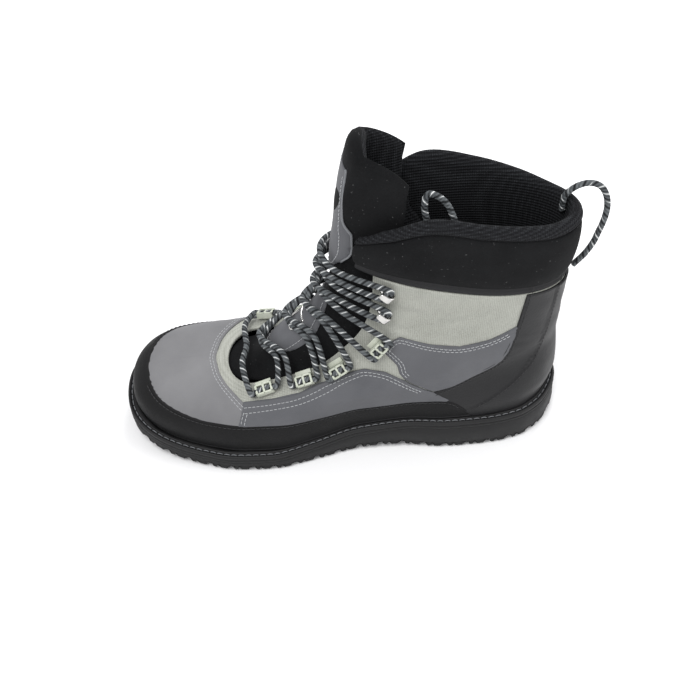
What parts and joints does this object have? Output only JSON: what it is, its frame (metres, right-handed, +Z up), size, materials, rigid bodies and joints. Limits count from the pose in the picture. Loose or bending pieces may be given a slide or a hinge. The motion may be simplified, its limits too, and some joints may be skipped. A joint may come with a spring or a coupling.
{
  "type": "wading boot",
  "caption": "Left lace-up wading boot with padded cuff, tall tongue, lace hooks, wrapped toe band and lugged sole.",
  "frame": {"origin": "middle of the heel's flat tread, on the floor", "axes": "+Z up, toe towards -X, outer (lateral) side towards -Y"},
  "size_m": [0.3384, 0.1181, 0.2491],
  "materials": {
    "sole_rubber": "matt moulded black rubber",
    "welt_rubber": "black rubber welt with a stitched channel",
    "insole_fabric": "dark footbed cloth",
    "canvas": "pale grey ribbed canvas",
    "nubuck": "grey synthetic nubuck",
    "rand_rubber": "black pebbled rand",
    "counter_leather": "smooth black synthetic leather",
    "cuff_fabric": "black padded knit",
    "tongue_fabric": "black padded knit",
    "keeper_plastic": "pale moulded plastic",
    "hook_metal": "plated steel",
    "lace_cord": "round braided lace, grey and black with pale flecks"
  },
  "bodies": {
    "root": {"outsole": "sole_rubber", "welt_midsole": "welt_rubber", "insole": "insole_fabric", "upper": "canvas", "toe_rand": "rand_rubber", "vamp": "nubuck", "quarter_lateral": "nubuck", "quarter_medial": "nubuck", "ankle_lateral": "nubuck", "ankle_medial": "nubuck", "heel_counter": "counter_leather", "collar_cuff": "cuff_fabric", "tongue": "tongue_fabric", "tongue_cover": "nubuck", "tongue_patch": "nubuck", "keeper_lateral_1": "keeper_plastic", "keeper_lateral_2": "keeper_plastic", "keeper_lateral_3": "keeper_plastic", "keeper_lateral_4": "keeper_plastic", "keeper_medial_1": "keeper_plastic", "keeper_medial_2": "keeper_plastic", "keeper_medial_3": "keeper_plastic", "keeper_medial_4": "keeper_plastic", "hook_lateral_1": "hook_metal", "hook_lateral_2": "hook_metal", "hook_medial_1": "hook_metal", "hook_medial_2": "hook_metal", "lace_bar": "lace_cord", "lace_cross_1": "lace_cord", "lace_cross_2": "lace_cord", "lace_cross_3": "lace_cord", "lace_cross_4": "lace_cord", "lace_cross_5": "lace_cord", "lace_tie": "lace_cord", "lace_loop": "lace_cord", "pull_loop": "lace_cord"}
  },
  "joints": []
}
